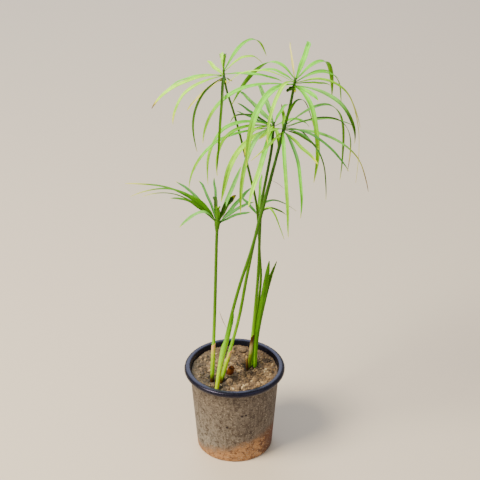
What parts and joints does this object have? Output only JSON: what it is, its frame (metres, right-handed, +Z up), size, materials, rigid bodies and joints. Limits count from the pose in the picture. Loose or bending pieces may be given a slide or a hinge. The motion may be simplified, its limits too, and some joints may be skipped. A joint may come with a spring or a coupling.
{
  "type": "potted umbrella sedge",
  "caption": "Young umbrella sedge in a round nursery pot: slender green stems, each topped by a spray of long arching ribbon bracts.",
  "frame": {"origin": "centre of the flat underside of the pot, which the plant stands on", "axes": "+Z up along the pot's axis and the stems, -Y towards the side that the picture shows, +X to the right in it"},
  "size_m": [0.295, 0.1675, 0.5448],
  "materials": {
    "pot": "semi-gloss moulded plastic, dusty on the body",
    "soil": "matte, crumbly",
    "culm": "smooth green stem, soft sheen",
    "bract": "smooth leaf, soft sheen",
    "young_shoot": "smooth leaf, soft sheen",
    "green_sheath": "papery, satin",
    "pale_sheath": "papery, matte",
    "dry_sheath": "dry, matte"
  },
  "bodies": {
    "root": {"pot": "pot", "soil": "soil", "culm_short": "culm", "culm_front": "culm", "culm_tall": "culm", "culm_middle": "culm", "culm_left": "culm", "culm_back": "culm", "sheath_short": "pale_sheath", "sheath_tall": "pale_sheath", "sheath_middle": "pale_sheath", "sheath_front": "green_sheath", "dry_sheath": "dry_sheath", "dead_stub": "dry_sheath", "shoot_blade_outer": "young_shoot", "shoot_blade_inner": "young_shoot", "bract_left_01": "bract", "bract_left_02": "bract", "bract_left_03": "bract", "bract_left_04": "bract", "bract_left_05": "bract", "bract_left_06": "bract", "bract_left_07": "bract", "bract_left_08": "bract", "bract_left_09": "bract", "bract_tall_01": "bract", "bract_tall_02": "bract", "bract_tall_03": "bract", "bract_tall_04": "bract", "bract_tall_05": "bract", "bract_tall_06": "bract", "bract_tall_07": "bract", "bract_tall_08": "bract", "bract_tall_09": "bract", "bract_tall_10": "bract", "bract_tall_11": "bract", "bract_tall_12": "bract", "bract_front_01": "bract", "bract_front_02": "bract", "bract_front_03": "bract", "bract_front_04": "bract", "bract_front_05": "bract", "bract_front_06": "bract", "bract_front_07": "bract", "bract_front_08": "bract", "bract_middle_01": "bract", "bract_middle_02": "bract", "bract_middle_03": "bract", "bract_middle_04": "bract", "bract_middle_05": "bract", "bract_middle_06": "bract", "bract_middle_07": "bract", "bract_middle_08": "bract", "bract_short_01": "bract", "bract_short_02": "bract", "bract_short_03": "bract", "bract_short_04": "bract", "bract_short_05": "bract", "bract_back_01": "bract", "bract_back_02": "bract"}
  },
  "joints": []
}
